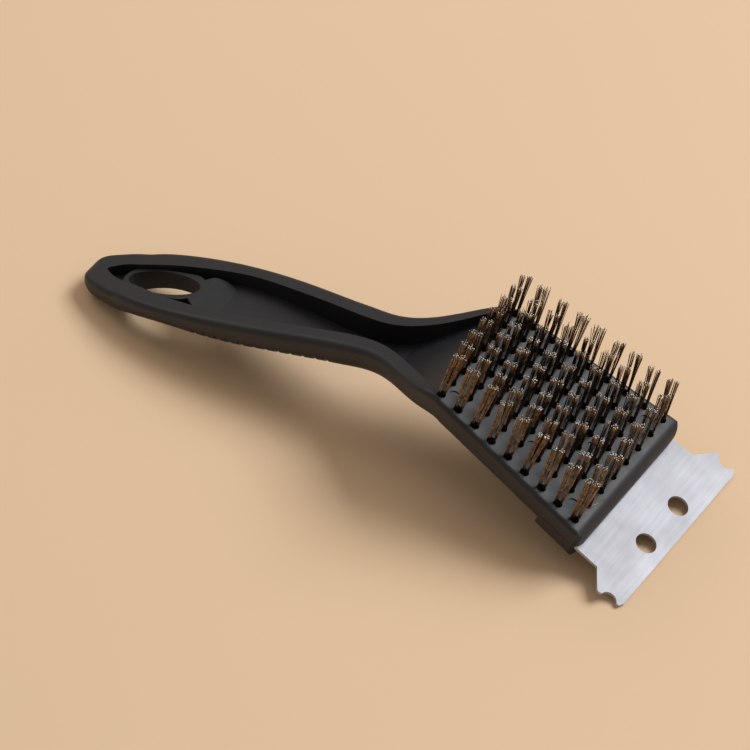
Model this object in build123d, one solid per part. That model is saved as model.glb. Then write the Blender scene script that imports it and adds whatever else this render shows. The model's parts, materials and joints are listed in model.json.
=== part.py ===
"""Grill cleaning brush: moulded handle and head, wire tufts with anchors, scraper and its screws.

The brush lies with its wires up, resting on the scraper's front edge and on the handle's tail.
Work frame: X along the table towards the scraper, Z up, origin on the head plate at the middle of
the tuft row nearest the scraper. Everything is moved at the end, so that the written origin is at
the bottom centre of the whole brush. Sizes are in millimetres.
"""

from build123d import *
import math
import os

# Head plate: a flat face that slopes down to the scraper
PLATE_PITCH = 23.5
PLATE_BACK = -55.0
PLATE_THICKNESS = 10.8

# Handle outline seen from above: distance along the handle, half width
TAIL_TIP = -195.3
HANDLE_HALF_WIDTHS = (
    (-194.7, 3.4),
    (-191, 7.7),
    (-186, 9.9),
    (-176, 12.8),
    (-164, 14.9),
    (-146, 15.9),
    (-128, 15.1),
    (-104, 12.3),
    (-91, 11.0),
    (-83, 11.3),
    (-75, 14.3),
    (-67, 19.0),
    (-60, 22.6),
)
HEAD_BACK_HALF = 25.1
NOSE_HALF = 31.2
NOSE_CORNER = 5.6

# Handle seen from the side: distance along the handle, height
RIM_LINE = (
    (-186, -9.4),
    (-176, -6.4),
    (-164, -3.2),
    (-152, -0.1),
    (-140, 2.9),
    (-116, 8.1),
    (-92, 12.7),
    (-76, 15.7),
    (-66, 18.6),
    (-59, 21.3),
)
TAIL_TOP = -12.0
TAIL_BOTTOM = -19.9
BELLY_LINE = (
    (-182, -17.2),
    (-164, -11.6),
    (-140, -7.0),
    (-116, -2.5),
    (-92, 1.9),
    (-76, 5.8),
    (-62, 10.0),
    (-56, 11.1),
)

# Trough in the handle
TROUGH_TIP = -188.3
TROUGH_HALF_WIDTHS = (
    (-186.5, 1.7),
    (-176, 5.3),
    (-167.4, 7.3),
    (-157.2, 8.9),
    (-140, 10.0),
    (-128, 9.0),
    (-104, 6.0),
    (-91, 4.5),
    (-83, 5.1),
    (-75, 8.1),
    (-67, 12.7),
    (-60, 17.4),
)
TROUGH_END = (-52.5, 22.2)
TROUGH_FLOOR = ((-176, -10.8), (-152, -4.8), (-130, -0.6), (-112, 1.6), (-92, 4.2))
RAMP_FOOT = (-77.0, 7.7)
RAMP_TOP = (-55.5, 20.6)
RAMP_CREST = (-50.0, 23.4)

# Hanging hole and the collar around it
HOLE_CENTRE = (-166.7, -5.7)
HOLE_HALF_LENGTH = 13.6
HOLE_HALF_WIDTH = 5.5
HOLE_TILT = 15.5
COLLAR_BACK = -181.4
COLLAR_SHOULDER = -152.4
COLLAR_HALF_WIDTH = 6.6
COLLAR_FOOT = -140.0
COLLAR_FOOT_HEIGHT = -3.4
COLLAR_FOOT_RADIUS = 8.2
COLLAR_DEPTH = 8.0

# Distances from the tail's tip, then places along the handle, where its cross-section is drawn
TAIL_STEPS = (0.15, 0.6, 1.5, 3.0, 5.0, 8.0, 13.0)
HANDLE_STATIONS = (-174, -164, -152, -140, -127, -114, -102, -92, -84, -76, -68, -60, -55)

# How strongly the outlines keep their end directions
END_PULL = (0.5, 0.5)

# Edge rounding of the moulding
RIM_RADIUS = 2.8
HEAD_RIM_RADIUS = 1.8
BELLY_RADIUS = 6.0
NECK_START = -92.0

# Grip grooves under the handle
GROOVE_FIRST = -146.0
GROOVE_COUNT = 12
GROOVE_PITCH = 4.2
GROOVE_WIDTH = 1.7
GROOVE_DEPTH = 0.28
GROOVE_TOP = (-3.8, 0.19)

# Nose that holds the scraper, in plate coordinates
NOSE_FRONT = 6.6
LIP_START = 2.3
FOOT_BACK = -9.4
FOOT_DEPTH = 13.7
JAW_RADIUS = 4.6

# Tufts
ROWS = 9
LINES = 8
ROW_PITCH = 7.0
LINE_PITCH_FRONT = 7.59
LINE_PITCH_GROWTH = 0.172
HOLE_RADIUS = 1.5
HOLE_DEPTH = 5.7
TUFT_LEAN = 9.5
TUFT_LEAN_SPREAD = 1.7
TUFT_HEIGHT = 18.9
FAN_ANGLE = -1.5
LEG_TURN = 20.0
LEG_BASE_RADIUS = 0.45
LEG_TIP_RADIUS = 0.95
LEG_BASE_OFFSET = 0.75
LEG_TIP_OFFSET = 1.15
FOLD_DEPTH = 4.9
FOLD_RADIUS = 0.62
FOLD_LENGTH = 2.4
ANCHOR_THICKNESS = 0.22
ANCHOR_LENGTH = 2.94
ANCHOR_HEIGHT = 1.4

# Ejector marks: x and y on the plate
EJECTOR_MARKS = ((-52.5, 19.0), (-24.5, 14.8), (-3.5, 22.2))
CENTRE_MARK = -10.5
MARK_RADIUS = 1.9
MARK_DEPTH = 0.45

# Scraper blade, in its own plane: x from the plate origin, y across
BLADE_DROP = 7.0
BLADE_THICKNESS = 1.0
BLADE_TILT = 1.6
BLADE_FRONT = 28.05
BLADE_TANG = -6.0
TANG_HALF = 25.0
BLADE_HOLE_X = 21.16
BLADE_HOLE_Y = 9.83
BLADE_HOLE_RADIUS = 3.52

# Screws that hold the blade's tang
SCREW_X = -3.5
SCREW_Y = 15.2
SCREW_RADIUS = 1.2
SCREW_TOP = -2.6
SCREW_HEAD_RADIUS = 2.5
SCREW_HEAD_BACK = -12.0
SCREW_SEAT = -10.6
SCREW_CLEARANCE = 0.3

BIG = 80.0

pitch = math.radians(PLATE_PITCH)
plate = Plane(
    origin=(0, 0, 0),
    x_dir=(math.cos(pitch), 0, -math.sin(pitch)),
    z_dir=(math.sin(pitch), 0, math.cos(pitch)),
)
plate_slope = (math.cos(pitch), -math.sin(pitch))


def on_plate(x, z):
    """Side-view point (X, Z) of a place given along and above the head plate."""
    return (
        x * math.cos(pitch) + z * math.sin(pitch),
        -x * math.sin(pitch) + z * math.cos(pitch),
    )


def closed_face(curves):
    """Flat face inside a closed run of lines and curves."""
    return make_face([edge for curve in curves for edge in curve.edges()])


def mirrored_face(half_outline):
    """Flat face from one side's open outline and its mirror image across the centre line."""
    other = [mirror(curve, about=Plane.XZ) for curve in half_outline]
    return closed_face(half_outline + other)


def half_plan(tip, widths, end, end_direction, front):
    """Plan outline of one side: round tip on the centre line, side, straight run, front."""
    ends = [(0, 1), end_direction]
    side = Spline((tip, 0), *widths, end, tangents=ends, tangent_scalars=END_PULL)
    return [side, Line(end, front), Line(front, (front[0], 0))]


def upright(face):
    """Tall prism on a plan."""
    return extrude(Pos(0, 0, -BIG) * face, 2 * BIG, dir=(0, 0, 1))


def side_prism(face):
    """Wide prism on a side view."""
    return extrude(Plane.XZ.offset(-BIG) * face, 2 * BIG, dir=(0, -1, 0))


def height_at(curve, x):
    """Second coordinate of a plan or side-view curve where its first is x."""
    low, high = 0.0, 1.0
    rising = (curve @ 1).X > (curve @ 0).X
    for _ in range(40):
        middle = (low + high) / 2
        if ((curve @ middle).X < x) == rising:
            low = middle
        else:
            high = middle
    return (curve @ low).Y


def round_off(distance, radius):
    """How far a rounded end has fallen back from its flat at a distance from the tip."""
    inside = max(radius - distance, 0.0)
    return radius - math.sqrt(radius**2 - inside**2)


def rim_radius(x):
    """Rim radius along the brush: it tightens in the neck, from the handle to the head."""
    crest_x = on_plate(PLATE_BACK, 0)[0]
    along = min(max((x - NECK_START) / (crest_x - NECK_START), 0.0), 1.0)
    return RIM_RADIUS + (HEAD_RIM_RADIUS - RIM_RADIUS) * along


def section(x, half_width, top, bottom):
    """Cross-section of the moulding: small radii along the rim, large ones under it."""
    height = top - bottom
    rim = min(rim_radius(x), 0.45 * half_width, 0.25 * height)
    belly = min(BELLY_RADIUS, 0.9 * half_width, 0.7 * height)
    face = Pos(0, (top + bottom) / 2) * Rectangle(2 * half_width, height)
    face = fillet(face.vertices().group_by(Axis.Y)[-1], rim)
    face = fillet(face.vertices().group_by(Axis.Y)[0], belly)
    return Plane.YZ.offset(x) * face


def side_slope():
    """Spread of the head's sides from the crest to the nose."""
    crest_x = on_plate(PLATE_BACK, 0)[0]
    return (NOSE_HALF - HEAD_BACK_HALF) / (on_plate(NOSE_FRONT, 0)[0] - crest_x)


def head_section(x, depth, drop=0.0):
    """Cross-section of the head, its top on the plate or a little under it."""
    crest_x = on_plate(PLATE_BACK, 0)[0]
    top = -x * math.tan(pitch) - drop
    bottom = -x * math.tan(pitch) - depth / math.cos(pitch)
    return section(x, HEAD_BACK_HALF + (x - crest_x) * side_slope(), top, bottom)


def handle_form(grow=0.0):
    """Handle as a solid form, before it is hollowed."""
    crest = on_plate(PLATE_BACK, 0)
    under_crest = (crest[0], crest[1] - PLATE_THICKNESS / math.cos(pitch))
    side = Spline(
        (TAIL_TIP, 0),
        *HANDLE_HALF_WIDTHS,
        (crest[0], HEAD_BACK_HALF),
        tangents=[(0, 1), (1, side_slope())],
        tangent_scalars=END_PULL,
    )
    rim = Spline((TAIL_TIP, TAIL_TOP), *RIM_LINE, crest, tangents=[(1, 0.35), plate_slope])
    belly = Spline(
        (TAIL_TIP, TAIL_BOTTOM),
        *BELLY_LINE,
        under_crest,
        tangents=[(1, 0.25), plate_slope],
    )
    sections = []
    for x in [TAIL_TIP + step for step in TAIL_STEPS] + list(HANDLE_STATIONS):
        distance = x - TAIL_TIP
        top = height_at(rim, x) - round_off(distance, RIM_RADIUS)
        bottom = height_at(belly, x) + round_off(distance, BELLY_RADIUS) - grow
        sections.append(section(x, height_at(side, x) + grow, top, bottom))
    sections.append(head_section(crest[0], PLATE_THICKNESS + grow))
    return loft(sections)


def head_form():
    """Flat head with its lip, and the deeper foot under the nose."""
    crest_x = on_plate(PLATE_BACK, 0)[0]
    front_x = on_plate(NOSE_FRONT, 0)[0] + 8
    head = loft([head_section(x, PLATE_THICKNESS) for x in (crest_x, front_x)], ruled=True)
    foot_back = on_plate(FOOT_BACK, -FOOT_DEPTH)[0] - 4
    block = loft([head_section(x, FOOT_DEPTH, 4.0) for x in (foot_back, front_x)], ruled=True)
    nose = side_prism(nose_profile()) & nose_block()
    return (head + (block & side_prism(foot_profile()))) & nose


def nose_profile():
    """Side view that trims the head: open towards the handle, lip and jaw at the front."""
    lip_start = on_plate(LIP_START, 0.01)
    lip_end = on_plate(NOSE_FRONT, -4.4)
    jaw = on_plate(NOSE_FRONT, -FOOT_DEPTH + JAW_RADIUS)
    chin = on_plate(NOSE_FRONT - JAW_RADIUS, -FOOT_DEPTH - 0.1)
    jaw_curve = TangentArc(jaw, chin, tangent=(-math.sin(pitch), -math.cos(pitch)))
    corners = [
        chin,
        (chin[0] - BIG, chin[1] - BIG),
        (jaw[0] - 1.5 * BIG, lip_start[1] + BIG),
        on_plate(LIP_START - BIG, 0.01),
        lip_start,
    ]
    outline = [
        TangentArc(lip_start, lip_end, tangent=plate_slope),
        Line(lip_end, jaw),
        jaw_curve,
        Polyline(*corners),
    ]
    return closed_face(outline)


def nose_block():
    """Block square to the plate with the nose's rounded corners."""
    face = Pos(NOSE_FRONT - BIG / 2, 0) * Rectangle(BIG, 2 * NOSE_HALF)
    face = fillet(face.vertices().group_by(Axis.X)[-1], NOSE_CORNER)
    return plate.location * upright(face)


def trough():
    """Space inside the handle's rim, with the ramp that climbs to the head plate."""
    outline = half_plan(
        TROUGH_TIP,
        TROUGH_HALF_WIDTHS,
        TROUGH_END,
        (1, 0.45),
        (TROUGH_END[0] + 6, TROUGH_END[1] + 2.7),
    )
    plan = mirrored_face(outline)
    floor = Spline((TROUGH_TIP - 2, -14.6), *TROUGH_FLOOR, RAMP_FOOT)
    rise = (RAMP_TOP[0] - RAMP_FOOT[0], RAMP_TOP[1] - RAMP_FOOT[1])
    crest = TangentArc(RAMP_TOP, RAMP_CREST, tangent=rise)
    outline = [
        floor,
        Line(RAMP_FOOT, RAMP_TOP),
        crest,
        Line(RAMP_CREST, (RAMP_CREST[0], BIG)),
        Line((RAMP_CREST[0], BIG), (TROUGH_TIP - 2, BIG)),
        Line((TROUGH_TIP - 2, BIG), floor @ 0),
    ]
    return upright(plan) & side_prism(closed_face(outline))


def collar():
    """Boss around the hanging hole: a ring below the rim and a ramp down to the trough's floor."""
    length = COLLAR_SHOULDER - COLLAR_BACK
    ring = Pos(COLLAR_BACK + length / 2, 0) * SlotOverall(length, 2 * COLLAR_HALF_WIDTH)
    foot_circle = Pos(COLLAR_FOOT - COLLAR_FOOT_RADIUS, 0) * Circle(COLLAR_FOOT_RADIUS)
    slope = math.tan(math.radians(HOLE_TILT))
    back = (COLLAR_BACK - 1, HOLE_CENTRE[1] + (COLLAR_BACK - 1 - HOLE_CENTRE[0]) * slope)
    shoulder = (COLLAR_SHOULDER, HOLE_CENTRE[1] + (COLLAR_SHOULDER - HOLE_CENTRE[0]) * slope)
    foot = (COLLAR_FOOT, COLLAR_FOOT_HEIGHT)
    outline = [
        back,
        shoulder,
        foot,
        (foot[0], foot[1] - COLLAR_DEPTH),
        (back[0], back[1] - COLLAR_DEPTH),
    ]
    return upright(ring + foot_circle) & side_prism(make_face(Polyline(*outline, close=True)))


def hanging_hole():
    hole_plane = Plane(
        origin=(HOLE_CENTRE[0], 0, HOLE_CENTRE[1]),
        x_dir=(math.cos(math.radians(HOLE_TILT)), 0, math.sin(math.radians(HOLE_TILT))),
        z_dir=(-math.sin(math.radians(HOLE_TILT)), 0, math.cos(math.radians(HOLE_TILT))),
    )
    return extrude(hole_plane * Ellipse(HOLE_HALF_LENGTH, HOLE_HALF_WIDTH), 14, both=True)


def grip_grooves():
    """Grooves across the underside, as deep as the gap to a slightly smaller form."""
    slices = []
    for i in range(GROOVE_COUNT):
        x = GROOVE_FIRST + i * GROOVE_PITCH
        top = GROOVE_TOP[0] + (x - GROOVE_FIRST) * GROOVE_TOP[1]
        slices.append(Pos(x, 0, top - BIG / 2) * Box(GROOVE_WIDTH, BIG, BIG))
    core = handle_form(-GROOVE_DEPTH)
    return [piece - core for piece in slices]


def foot_profile():
    """Side view of the deeper block under the nose."""
    front = NOSE_FRONT + 2.0
    points = [
        (FOOT_BACK, -6.0),
        (FOOT_BACK, -PLATE_THICKNESS + 0.4),
        (FOOT_BACK + 7.0, -FOOT_DEPTH - 0.1),
        (front, -FOOT_DEPTH - 0.1),
        (front, -6.0),
    ]
    return make_face(Polyline(*[on_plate(x, z) for x, z in points], close=True))


def line_pitch(row):
    return LINE_PITCH_FRONT + LINE_PITCH_GROWTH * (row - (ROWS - 1))


def tuft_places(row):
    """Place and fan angle of each tuft in a row, counted from the handle."""
    x = (row - (ROWS - 1)) * ROW_PITCH
    middle = (LINES - 1) / 2
    return [(x, (line - middle) * line_pitch(row), (line - middle) / middle) for line in range(LINES)]


def tuft_plane(x, y, fan, turn=0.0):
    """Plane on the plate at a tuft hole, its z along the tuft."""
    lean = Rotation(0, -TUFT_LEAN - fan * TUFT_LEAN_SPREAD, 0)
    spread = Rotation(-fan * FAN_ANGLE, 0, 0)
    return plate.location * Pos(x, y, 0) * lean * spread * Rotation(0, 0, turn)


def tuft(x, y, fan):
    """Bundle folded double: two legs joined by a fold across the hole's bottom."""
    frame = tuft_plane(x, y, fan, LEG_TURN)
    tuft_shape = Pos(0, 0, -FOLD_DEPTH) * Rotation(0, 90, 0) * Cylinder(FOLD_RADIUS, FOLD_LENGTH)
    for side in (-1, 1):
        base = Vector(side * LEG_BASE_OFFSET, 0, -FOLD_DEPTH)
        tip = Vector(side * LEG_TIP_OFFSET, 0, TUFT_HEIGHT)
        run = tip - base
        middle = Plane(base + run * 0.5, z_dir=run.normalized())
        tuft_shape += middle * Cone(LEG_BASE_RADIUS, LEG_TIP_RADIUS, run.length)
    return frame * tuft_shape


def anchor(x, y, fan):
    """Flat wire staple across the hole, on the fold and between the legs."""
    frame = tuft_plane(x, y, fan, LEG_TURN)
    height = Pos(0, 0, -FOLD_DEPTH + FOLD_RADIUS + 0.02 + ANCHOR_HEIGHT / 2)
    return frame * height * Box(ANCHOR_THICKNESS, ANCHOR_LENGTH, ANCHOR_HEIGHT)


def tuft_hole(x, y, fan):
    middle = (2.0 - HOLE_DEPTH) / 2
    return tuft_plane(x, y, fan) * Pos(0, 0, middle) * Cylinder(HOLE_RADIUS, 2.0 + HOLE_DEPTH)


def ejector_marks():
    places = [(CENTRE_MARK, 0)]
    for x, y in EJECTOR_MARKS:
        places += [(x, y), (x, -y)]
    mark = Cylinder(MARK_RADIUS, 2 * MARK_DEPTH)
    return [plate.location * Pos(x, y, 0) * mark for x, y in places]


def blade_location():
    """Place of the blade's top face: hinged down a little where it leaves the nose."""
    exit_point = Pos(NOSE_FRONT, 0, -BLADE_DROP)
    return plate.location * exit_point * Rotation(0, BLADE_TILT, 0) * Pos(-NOSE_FRONT, 0, 0)


def blade_half_outline():
    """Edge of one side, from the tang to the middle of the front edge."""
    shank = [
        (BLADE_TANG, 0),
        (BLADE_TANG, TANG_HALF),
        (1.0, TANG_HALF),
        (1.6, 29.0),
        (14.4, 29.5),
        (18.8, 36.0),
    ]
    shoulder = ThreePointArc((18.8, 36.0), (19.9, 36.55), (20.9, 36.1))
    scallop = ThreePointArc((20.9, 36.1), (23.5, 33.8), (26.2, 35.5))
    tooth = ThreePointArc((26.2, 35.5), (27.0, 35.6), (27.5, 35.0))
    return [
        Polyline(*shank),
        shoulder,
        scallop,
        tooth,
        Line((27.5, 35.0), (BLADE_FRONT, 33.6)),
        Line((BLADE_FRONT, 33.6), (BLADE_FRONT, 0)),
    ]


def blade():
    face = mirrored_face(blade_half_outline())
    for side in (-1, 1):
        face -= Pos(BLADE_HOLE_X, side * BLADE_HOLE_Y) * Circle(BLADE_HOLE_RADIUS)
    solid = extrude(face, -BLADE_THICKNESS)
    return blade_location() * solid


def screw_place(side):
    return plate.location * Pos(SCREW_X, side * SCREW_Y, 0)


def screw(side):
    """Pan-head screw with a cross recess, driven up from the nose's underside."""
    head_height = SCREW_SEAT - SCREW_HEAD_BACK
    shank_length = SCREW_TOP - SCREW_SEAT
    shank = Pos(0, 0, SCREW_SEAT + shank_length / 2) * Cylinder(SCREW_RADIUS, shank_length)
    shank = chamfer(shank.edges().sort_by(Axis.Z)[-1], 0.8)
    head = Pos(0, 0, SCREW_SEAT - head_height / 2) * Cylinder(SCREW_HEAD_RADIUS, head_height)
    head = fillet(head.edges().sort_by(Axis.Z)[0], 0.7)
    slot = Pos(0, 0, SCREW_HEAD_BACK) * Box(2.6, 0.6, 1.4)
    return screw_place(side) * (shank + head - slot - Rotation(0, 0, 90) * slot)


def screw_space(side):
    """Hole for the shank and the counterbore for the head."""
    shank_length = SCREW_TOP - SCREW_SEAT
    shank = Pos(0, 0, SCREW_SEAT + shank_length / 2) * Cylinder(SCREW_RADIUS, shank_length)
    well_radius = SCREW_HEAD_RADIUS + SCREW_CLEARANCE
    well = Pos(0, 0, SCREW_SEAT - 5) * Cylinder(well_radius, 10)
    return screw_place(side) * (shank + well)


def handle_body(scraper):
    """The whole moulding."""
    form = handle_form() + head_form()
    boss = collar() & form
    form -= grip_grooves()
    form -= trough()
    form += boss
    form -= hanging_hole()
    for row in range(ROWS):
        form -= [tuft_hole(*place) for place in tuft_places(row)]
    form -= ejector_marks()
    form -= scraper
    form -= [screw_space(side) for side in (-1, 1)]
    return form


def build_nodes():
    scraper = blade()
    screws = {"scraper_screw_left": screw(1), "scraper_screw_right": screw(-1)}
    nodes = {"handle_body": handle_body(scraper)}
    shank_holes = [
        screw_place(side) * Pos(0, 0, -BLADE_DROP) * Cylinder(SCREW_RADIUS, 6) for side in (-1, 1)
    ]
    nodes["scraper_blade"] = scraper - shank_holes
    for row in range(ROWS):
        places = tuft_places(row)
        nodes[f"tuft_row_{row + 1}"] = Compound(children=[tuft(*p) for p in places])
        nodes[f"anchor_row_{row + 1}"] = Compound(children=[anchor(*p) for p in places])
    nodes.update(screws)
    return nodes


def main():
    os.makedirs("parts", exist_ok=True)
    nodes = build_nodes()
    box = Compound(children=[Compound(n.wrapped) for n in nodes.values()]).bounding_box()
    home = Pos(-(box.min.X + box.max.X) / 2, -(box.min.Y + box.max.Y) / 2, -box.min.Z)
    print("moved by", home.position, "size", box.size)
    for name, shape in nodes.items():
        export_step(home * shape, f"parts/{name}.step")


main()
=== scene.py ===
"""Grill cleaning brush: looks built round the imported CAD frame. Metres, Z up."""

import json
import math
import random

import bpy
from mathutils import Matrix, Vector


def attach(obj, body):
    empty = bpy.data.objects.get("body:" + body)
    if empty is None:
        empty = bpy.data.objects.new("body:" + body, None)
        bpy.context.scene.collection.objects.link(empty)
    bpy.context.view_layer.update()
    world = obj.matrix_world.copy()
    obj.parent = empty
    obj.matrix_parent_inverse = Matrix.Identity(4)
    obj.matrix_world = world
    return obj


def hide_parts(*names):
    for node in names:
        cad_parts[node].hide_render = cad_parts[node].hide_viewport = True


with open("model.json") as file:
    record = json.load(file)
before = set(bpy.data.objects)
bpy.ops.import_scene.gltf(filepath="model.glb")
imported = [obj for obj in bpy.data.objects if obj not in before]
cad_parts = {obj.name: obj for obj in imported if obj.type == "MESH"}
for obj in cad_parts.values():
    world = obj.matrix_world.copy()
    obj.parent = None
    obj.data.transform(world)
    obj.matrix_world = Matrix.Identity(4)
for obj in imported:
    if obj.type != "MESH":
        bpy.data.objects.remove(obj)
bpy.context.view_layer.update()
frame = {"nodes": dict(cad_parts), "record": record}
nodes = frame["nodes"]
mounts = {m["name"]: m for m in frame["record"]["mounts"]}
MM = 0.001

# Camera
VIEW_AZIMUTH = 30.563
VIEW_ELEVATION = 42.99
VIEW_ROLL = 1.80
VIEW_TARGET_FROM_PLATE = Vector((-0.07911, -0.01521, 0.01094))
VIEW_DISTANCE = 2.1682
LENS = 336.0
SENSOR = 36.0
FAR_CLIP = 50

# Head plate and tufts, in millimetres, as in the CAD
PLATE_PITCH = 23.5
BLADE_HOLE_ON_PLATE = Vector((21.1403, 0, -7.9063))
ROWS = 9
LINES = 8
ROW_PITCH = 7.0
LINE_PITCH_FRONT = 7.59
LINE_PITCH_GROWTH = 0.172
TUFT_LEAN = 9.5
TUFT_LEAN_SPREAD = 1.7
FAN_ANGLE = -1.5
LEG_TURN = 20.0
TUFT_HEIGHT = 18.9
FOLD_DEPTH = 4.9
LEG_BASE_OFFSET = 0.75
LEG_TIP_OFFSET = 1.15
LEG_BASE_SPREAD = 0.3
LEG_TIP_SPREAD = 0.85

# Wires, in millimetres
WIRES_PER_LEG = 13
WIRE_RADIUS = 0.105
WIRE_SIDES = 6
WIRE_STEPS = 7
WIRE_START = 0.8
SPREAD_POWER = 1.3
GOLDEN_ANGLE = 2.39996
SEED = 11

# How much the tufts (degrees), legs and wires (millimetres) differ from each other
LEAN_SCATTER = 1.1
TURN_SCATTER = 6.0
LEG_LEAN = 0.25
MOST_SPLAY = 0.7
AROUND_SCATTER = 0.3
TIP_SCATTER = 0.55
STRAY = 0.16
BOW = 0.10

# A bent wire by the near corner tuft, as places on the plate in millimetres
BENT_WIRE = ((0.2, -26.4, -0.5), (-0.6, -25.7, 1.8), (1.3, -21.8, 3.2), (3.2, -17.1, 5.0))

# Colours, dark and light end of each material's mottling
PLASTIC_COLOURS = ((0.0095, 0.0098, 0.0135), (0.0135, 0.0142, 0.019))
DUST_COLOUR = (0.16, 0.15, 0.14, 1.0)
BLADE_COLOURS = ((0.385, 0.385, 0.425), (0.455, 0.455, 0.495))
# Wire colours: the brown-gold tint on the steel is a painted reflection of the warm floor
WIRE_COLOURS_PAINTED_FLOOR_REFLECTION = ((0.13, 0.085, 0.05), (0.28, 0.19, 0.115), (0.48, 0.34, 0.22))
CUT_COLOUR = (0.66, 0.62, 0.56)
ANCHOR_COLOUR = (0.62, 0.60, 0.57)
SCREW_COLOUR = (0.70, 0.70, 0.72)
FLOOR_COLOURS = ((0.800, 0.580, 0.385), (0.815, 0.592, 0.395))

# The part of a noise texture's range that mottles a material
NOISE_LOW = 0.3
NOISE_HIGH = 0.7

# Stage and light
FLOOR_HALF = 4.0
KEY_PLACE = Vector((1.1, 1.2, 1.9))
KEY_SIZE = (1.6, 1.2)
KEY_POWER = 50
KEY_COLOUR = (0.95, 0.975, 1.0)
FILL_PLACE = Vector((-1.6, 0.6, 1.9))
FILL_SIZE = (1.5, 1.5)
FILL_POWER = 8
FILL_COLOUR = (1.0, 0.93, 0.84)
SKY_COLOUR = (1.0, 0.90, 0.78, 1.0)
SKY_STRENGTH = 0.32

# Edges of the blade that meet at more than this many degrees stay sharp
SHARP_ANGLE = 25

hole_left = Vector(mounts["blade_hole_left"]["pos_m"])
hole_right = Vector(mounts["blade_hole_right"]["pos_m"])
plate_turn = Matrix.Rotation(math.radians(PLATE_PITCH), 4, "Y")
plate_origin = (hole_left + hole_right) / 2 - plate_turn @ (BLADE_HOLE_ON_PLATE * MM)
plate = Matrix.Translation(plate_origin) @ plate_turn @ Matrix.Scale(MM, 4)
view_target = plate_origin + VIEW_TARGET_FROM_PLATE


# ---------------------------------------------------------------- materials
def new_material(name):
    material = bpy.data.materials.new(name)
    material.use_nodes = True
    tree = material.node_tree
    tree.nodes.clear()
    output = tree.nodes.new("ShaderNodeOutputMaterial")
    shader = tree.nodes.new("ShaderNodeBsdfPrincipled")
    tree.links.new(shader.outputs["BSDF"], output.inputs["Surface"])
    return material, tree, shader


def noise_texture(tree, scale, detail=3.0, roughness=0.55, stretch=None):
    """3-D noise on object coordinates, stretched along an axis if asked. Scale is per metre."""
    place = tree.nodes.new("ShaderNodeTexCoord")
    source = place.outputs["Object"]
    if stretch:
        mapping = tree.nodes.new("ShaderNodeMapping")
        mapping.inputs["Scale"].default_value = stretch
        tree.links.new(source, mapping.inputs["Vector"])
        source = mapping.outputs["Vector"]
    made = tree.nodes.new("ShaderNodeTexNoise")
    made.inputs["Scale"].default_value = scale
    made.inputs["Detail"].default_value = detail
    made.inputs["Roughness"].default_value = roughness
    tree.links.new(source, made.inputs["Vector"])
    return made


def ramp(tree, source, stops):
    """Colour ramp; stops are (position, colour) with a grey number or an RGB triple."""
    made = tree.nodes.new("ShaderNodeValToRGB")
    elements = made.color_ramp.elements
    while len(elements) < len(stops):
        elements.new(0.5)
    for element, (position, colour) in zip(elements, stops):
        element.position = position
        rgb = colour if isinstance(colour, tuple) else (colour, colour, colour)
        element.color = (*rgb, 1.0)
    tree.links.new(source, made.inputs["Fac"])
    return made


def mottle(tree, source, colours):
    """Ramp evenly spaced over the part of the noise's range that is used."""
    last = len(colours) - 1
    span = NOISE_HIGH - NOISE_LOW
    return ramp(tree, source, [(NOISE_LOW + span * i / last, c) for i, c in enumerate(colours)])


def vary_roughness(tree, shader, source, low, high):
    """Roughness that runs between two values with a noise texture."""
    made = tree.nodes.new("ShaderNodeMapRange")
    made.inputs["From Min"].default_value = NOISE_LOW
    made.inputs["From Max"].default_value = NOISE_HIGH
    made.inputs["To Min"].default_value = low
    made.inputs["To Max"].default_value = high
    tree.links.new(source, made.inputs["Value"])
    tree.links.new(made.outputs["Result"], shader.inputs["Roughness"])


def bump(tree, shader, height, distance, strength, before=None):
    """Bump from a texture, on top of an earlier bump if there is one. Distance is in metres."""
    made = tree.nodes.new("ShaderNodeBump")
    made.inputs["Strength"].default_value = strength
    made.inputs["Distance"].default_value = distance
    tree.links.new(height, made.inputs["Height"])
    if before:
        tree.links.new(before.outputs["Normal"], made.inputs["Normal"])
    tree.links.new(made.outputs["Normal"], shader.inputs["Normal"])
    return made


def plastic_material():
    """Satin charcoal plastic: fine moulded grain, uneven gloss, faint rubs and a few dust specks."""
    material, tree, shader = new_material("black_plastic")
    cloud = noise_texture(tree, scale=55, detail=4.0)
    colour = mottle(tree, cloud.outputs["Fac"], PLASTIC_COLOURS)
    dust = noise_texture(tree, scale=1500, detail=2.0, roughness=0.5)
    speck = ramp(tree, dust.outputs["Fac"], [(0.765, 0.0), (0.80, 1.0)])
    mix = tree.nodes.new("ShaderNodeMix")
    mix.data_type = "RGBA"
    tree.links.new(speck.outputs["Color"], mix.inputs[0])
    tree.links.new(colour.outputs["Color"], mix.inputs[6])
    mix.inputs[7].default_value = DUST_COLOUR
    tree.links.new(mix.outputs[2], shader.inputs["Base Color"])
    smear = noise_texture(tree, scale=90, detail=5.0, roughness=0.6, stretch=(0.5, 1.4, 1.0))
    vary_roughness(tree, shader, smear.outputs["Fac"], low=0.40, high=0.52)
    shader.inputs["Specular IOR Level"].default_value = 0.5
    grain = noise_texture(tree, scale=5200, detail=2.0)
    first = bump(tree, shader, grain.outputs["Fac"], distance=0.00002, strength=0.35)
    waves = noise_texture(tree, scale=240, detail=3.0)
    bump(tree, shader, waves.outputs["Fac"], distance=0.00006, strength=0.25, before=first)
    return material


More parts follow.
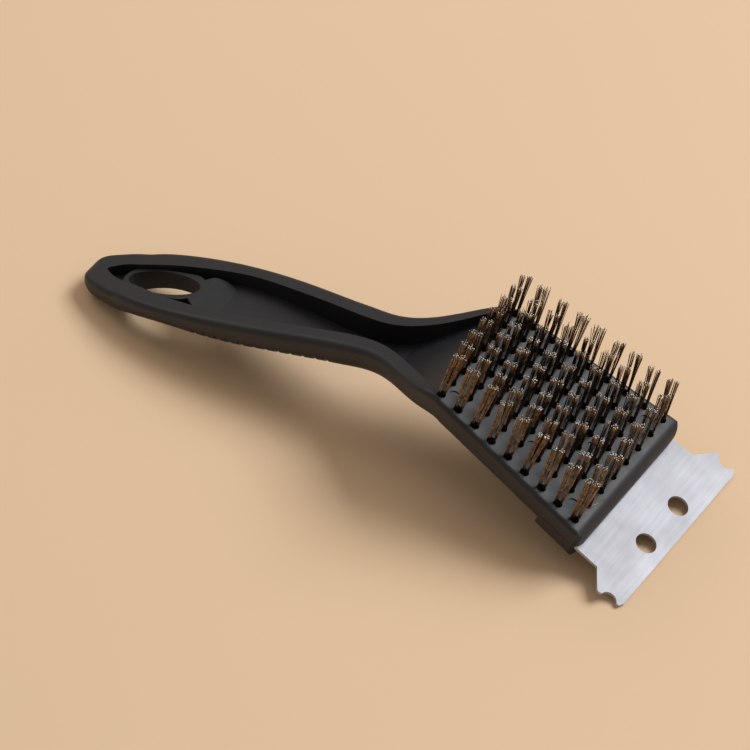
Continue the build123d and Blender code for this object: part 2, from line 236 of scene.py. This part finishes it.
def blade_material():
    """Cold-rolled stainless sheet: fine brushing across the brush, uneven gloss, very shallow waves."""
    material, tree, shader = new_material("blade_steel")
    shader.inputs["Metallic"].default_value = 0.35
    streak = noise_texture(tree, scale=900, detail=4.0, roughness=0.6, stretch=(1.0, 0.05, 1.0))
    colour = mottle(tree, streak.outputs["Fac"], BLADE_COLOURS)
    tree.links.new(colour.outputs["Color"], shader.inputs["Base Color"])
    cloud = noise_texture(tree, scale=70, detail=4.0)
    vary_roughness(tree, shader, cloud.outputs["Fac"], low=0.50, high=0.62)
    first = bump(tree, shader, streak.outputs["Fac"], distance=0.00001, strength=0.25)
    dents = noise_texture(tree, scale=60, detail=3.0, roughness=0.5, stretch=(1.0, 0.5, 1.0))
    bump(tree, shader, dents.outputs["Fac"], distance=0.0001, strength=0.1, before=first)
    return material


def wire_material():
    """Drawn steel wire, tinted brown-gold: a painted reflection of the warm floor."""
    material, tree, shader = new_material("wire_steel")
    shader.inputs["Metallic"].default_value = 1.0
    tint = noise_texture(tree, scale=700, detail=3.0)
    # Brown-gold base colour: painted reflection of the warm floor
    colour = mottle(tree, tint.outputs["Fac"], WIRE_COLOURS_PAINTED_FLOOR_REFLECTION)
    tree.links.new(colour.outputs["Color"], shader.inputs["Base Color"])
    cloud = noise_texture(tree, scale=900, detail=2.0)
    vary_roughness(tree, shader, cloud.outputs["Fac"], low=0.18, high=0.34)
    bump(tree, shader, cloud.outputs["Fac"], distance=0.00001, strength=0.4)
    return material


def bright_material(name, base, low, high):
    """Bare bright metal for cut ends, anchors and screws; low and high are its roughness."""
    material, tree, shader = new_material(name)
    shader.inputs["Metallic"].default_value = 1.0
    cloud = noise_texture(tree, scale=800, detail=3.0)
    dark = tuple(0.75 * c for c in base)
    colour = ramp(tree, cloud.outputs["Fac"], [(NOISE_LOW, dark), (0.65, base)])
    tree.links.new(colour.outputs["Color"], shader.inputs["Base Color"])
    vary_roughness(tree, shader, cloud.outputs["Fac"], low=low, high=high)
    bump(tree, shader, cloud.outputs["Fac"], distance=0.00002, strength=0.4)
    return material


def floor_material():
    """Matt paper backdrop, very faintly clouded."""
    material, tree, shader = new_material("floor_paper")
    cloud = noise_texture(tree, scale=3.0, detail=3.0)
    colour = mottle(tree, cloud.outputs["Fac"], FLOOR_COLOURS)
    tree.links.new(colour.outputs["Color"], shader.inputs["Base Color"])
    shader.inputs["Roughness"].default_value = 0.9
    shader.inputs["Specular IOR Level"].default_value = 0.1
    return material


plastic = plastic_material()
blade_steel = blade_material()
wire_steel = wire_material()
cut_steel = bright_material("wire_cut", CUT_COLOUR, low=0.3, high=0.5)
anchor_wire = bright_material("anchor_wire", ANCHOR_COLOUR, low=0.3, high=0.5)
screw_steel = bright_material("screw_steel", SCREW_COLOUR, low=0.25, high=0.45)

finishes = {
    "handle_body": plastic,
    "scraper_blade": blade_steel,
    "scraper_screw_left": screw_steel,
    "scraper_screw_right": screw_steel,
}
for row in range(ROWS):
    finishes[f"anchor_row_{row + 1}"] = anchor_wire
for name, material in finishes.items():
    for material_slot in nodes[name].material_slots:
        material_slot.material = material

# The blade is flat sheet: its faces are shaded flat, and only its rounded notches and holes smooth
sheet = nodes["scraper_blade"].data
sheet.attributes.remove(sheet.attributes["custom_normal"])
sheet.shade_smooth()
sheet.set_sharp_from_angle(angle=math.radians(SHARP_ANGLE))


# ---------------------------------------------------------------- wire tufts
def new_piece(name, vertices, faces, materials, face_materials=None):
    mesh = bpy.data.meshes.new(name)
    mesh.from_pydata(vertices, [], faces)
    for material in materials:
        mesh.materials.append(material)
    if face_materials:
        mesh.polygons.foreach_set("material_index", face_materials)
    mesh.update()
    piece = bpy.data.objects.new(name, mesh)
    bpy.context.scene.collection.objects.link(piece)
    return piece


def line_pitch(row):
    return LINE_PITCH_FRONT + LINE_PITCH_GROWTH * (row - (ROWS - 1))


def tuft_matrix(row, line, rng):
    """Millimetre frame at a tuft hole on the plate, its z along the tuft."""
    middle = (LINES - 1) / 2
    y = (line - middle) * line_pitch(row)
    fan = (line - middle) / middle
    lean = TUFT_LEAN + fan * TUFT_LEAN_SPREAD + rng.gauss(0, LEAN_SCATTER)
    spread = fan * FAN_ANGLE + rng.gauss(0, LEAN_SCATTER)
    return (
        plate
        @ Matrix.Translation(((row - (ROWS - 1)) * ROW_PITCH, y, 0))
        @ Matrix.Rotation(math.radians(-lean), 4, "Y")
        @ Matrix.Rotation(math.radians(-spread), 4, "X")
        @ Matrix.Rotation(math.radians(LEG_TURN + rng.gauss(0, TURN_SCATTER)), 4, "Z")
    )


class Wires:
    """Collects the wires of one row into one mesh."""

    def __init__(self):
        self.vertices = []
        self.faces = []
        self.cut = []

    def add(self, points, radius):
        """Tube along points (already in metres), with its far end cut flat and bright."""
        first = len(self.vertices)
        count = len(points)
        side = Vector((1, 0, 0))
        for i, point in enumerate(points):
            ahead = points[min(i + 1, count - 1)]
            behind = points[max(i - 1, 0)]
            along = (ahead - behind).normalized()
            side = (side - along * side.dot(along)).normalized()
            across = along.cross(side)
            for k in range(WIRE_SIDES):
                turn = 2 * math.pi * k / WIRE_SIDES
                offset = side * math.cos(turn) + across * math.sin(turn)
                self.vertices.append(point + offset * radius)
        for i in range(count - 1):
            for k in range(WIRE_SIDES):
                a = first + i * WIRE_SIDES + k
                b = first + i * WIRE_SIDES + (k + 1) % WIRE_SIDES
                self.faces.append((a, b, b + WIRE_SIDES, a + WIRE_SIDES))
                self.cut.append(0)
        last = first + (count - 1) * WIRE_SIDES
        self.faces.append(tuple(range(last, last + WIRE_SIDES)))
        self.faces.append(tuple(range(first + WIRE_SIDES - 1, first - 1, -1)))
        self.cut += [1, 0]


def tuft_wires(wires, matrix, rng):
    """Two legs of nearly straight wires that open out a little towards their cut ends."""
    start = WIRE_START - FOLD_DEPTH
    for side in (-1, 1):
        lean = Vector((rng.uniform(-LEG_LEAN, LEG_LEAN), rng.uniform(-LEG_LEAN, LEG_LEAN), 0))
        splay = 1.0 + MOST_SPLAY * rng.random() ** 3
        for i in range(WIRES_PER_LEG):
            rho = math.sqrt((i + 0.5) / WIRES_PER_LEG)
            phi = i * GOLDEN_ANGLE + rng.uniform(-AROUND_SCATTER, AROUND_SCATTER)
            spot = Vector((rho * math.cos(phi), rho * math.sin(phi), 0))
            tip_height = TUFT_HEIGHT - rng.uniform(0, TIP_SCATTER)
            stray = Vector((rng.gauss(0, STRAY), rng.gauss(0, STRAY), 0)) * splay
            bow = Vector((rng.gauss(0, BOW), rng.gauss(0, BOW), 0))
            points = []
            for step in range(WIRE_STEPS + 1):
                t = step / WIRE_STEPS
                z = start + (tip_height - start) * t
                offset = LEG_BASE_OFFSET + (LEG_TIP_OFFSET - LEG_BASE_OFFSET) * t
                spread = LEG_BASE_SPREAD + (LEG_TIP_SPREAD * splay - LEG_BASE_SPREAD) * t**SPREAD_POWER
                place = Vector((side * offset, 0, z)) + spot * spread
                place += (stray + lean) * t**2 + bow * math.sin(math.pi * t)
                points.append(matrix @ place)
            wires.add(points, WIRE_RADIUS * MM)


rng = random.Random(SEED)
for row in range(ROWS):
    wires = Wires()
    for line in range(LINES):
        tuft_wires(wires, tuft_matrix(row, line, rng), rng)
    if row == ROWS - 1:
        wires.add([plate @ Vector(place) for place in BENT_WIRE], WIRE_RADIUS * MM)
    metals = [wire_steel, cut_steel]
    piece = new_piece(f"wires_row_{row + 1}", wires.vertices, wires.faces, metals, wires.cut)
    for polygon in piece.data.polygons:
        polygon.use_smooth = len(polygon.vertices) == 4
    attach(piece, "root")
    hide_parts(f"tuft_row_{row + 1}")


# ---------------------------------------------------------------- stage, camera, lights
def add_floor():
    half = FLOOR_HALF
    corners = [(-half, -half, 0), (half, -half, 0), (half, half, 0), (-half, half, 0)]
    floor = new_piece("floor", corners, [(0, 1, 2, 3)], [floor_material()])


def aim(direction, roll=0.0):
    """Rotation of a camera or lamp that looks along a direction."""
    up = Vector((0, 0, 1))
    right = direction.cross(up).normalized()
    above = right.cross(direction)
    tilt = math.radians(roll)
    x = right * math.cos(tilt) + above * math.sin(tilt)
    y = above * math.cos(tilt) - right * math.sin(tilt)
    return Matrix((x, y, -direction)).transposed().to_4x4()


def add_camera():
    azimuth = math.radians(VIEW_AZIMUTH)
    elevation = math.radians(VIEW_ELEVATION)
    forward = Vector(
        (
            -math.sin(azimuth) * math.cos(elevation),
            math.cos(azimuth) * math.cos(elevation),
            -math.sin(elevation),
        )
    )
    data = bpy.data.cameras.new("camera")
    data.lens = LENS
    data.sensor_width = SENSOR
    data.clip_end = FAR_CLIP
    camera = bpy.data.objects.new("camera", data)
    place = view_target - forward * VIEW_DISTANCE
    camera.matrix_world = Matrix.Translation(place) @ aim(forward, VIEW_ROLL)
    bpy.context.scene.collection.objects.link(camera)
    bpy.context.scene.camera = camera


def add_area(name, place, size, power, colour):
    data = bpy.data.lights.new(name, "AREA")
    data.shape = "RECTANGLE"
    data.size, data.size_y = size
    data.energy = power
    data.color = colour
    light = bpy.data.objects.new(name, data)
    light.matrix_world = Matrix.Translation(place) @ aim((view_target - place).normalized())
    bpy.context.scene.collection.objects.link(light)


add_floor()
add_camera()
add_area("key", KEY_PLACE, KEY_SIZE, KEY_POWER, KEY_COLOUR)
add_area("fill", FILL_PLACE, FILL_SIZE, FILL_POWER, FILL_COLOUR)

world = bpy.data.worlds.new("studio")
world.use_nodes = True
world.node_tree.nodes["Background"].inputs["Color"].default_value = SKY_COLOUR
world.node_tree.nodes["Background"].inputs["Strength"].default_value = SKY_STRENGTH
bpy.context.scene.world = world
bpy.context.scene.view_settings.view_transform = "Standard"
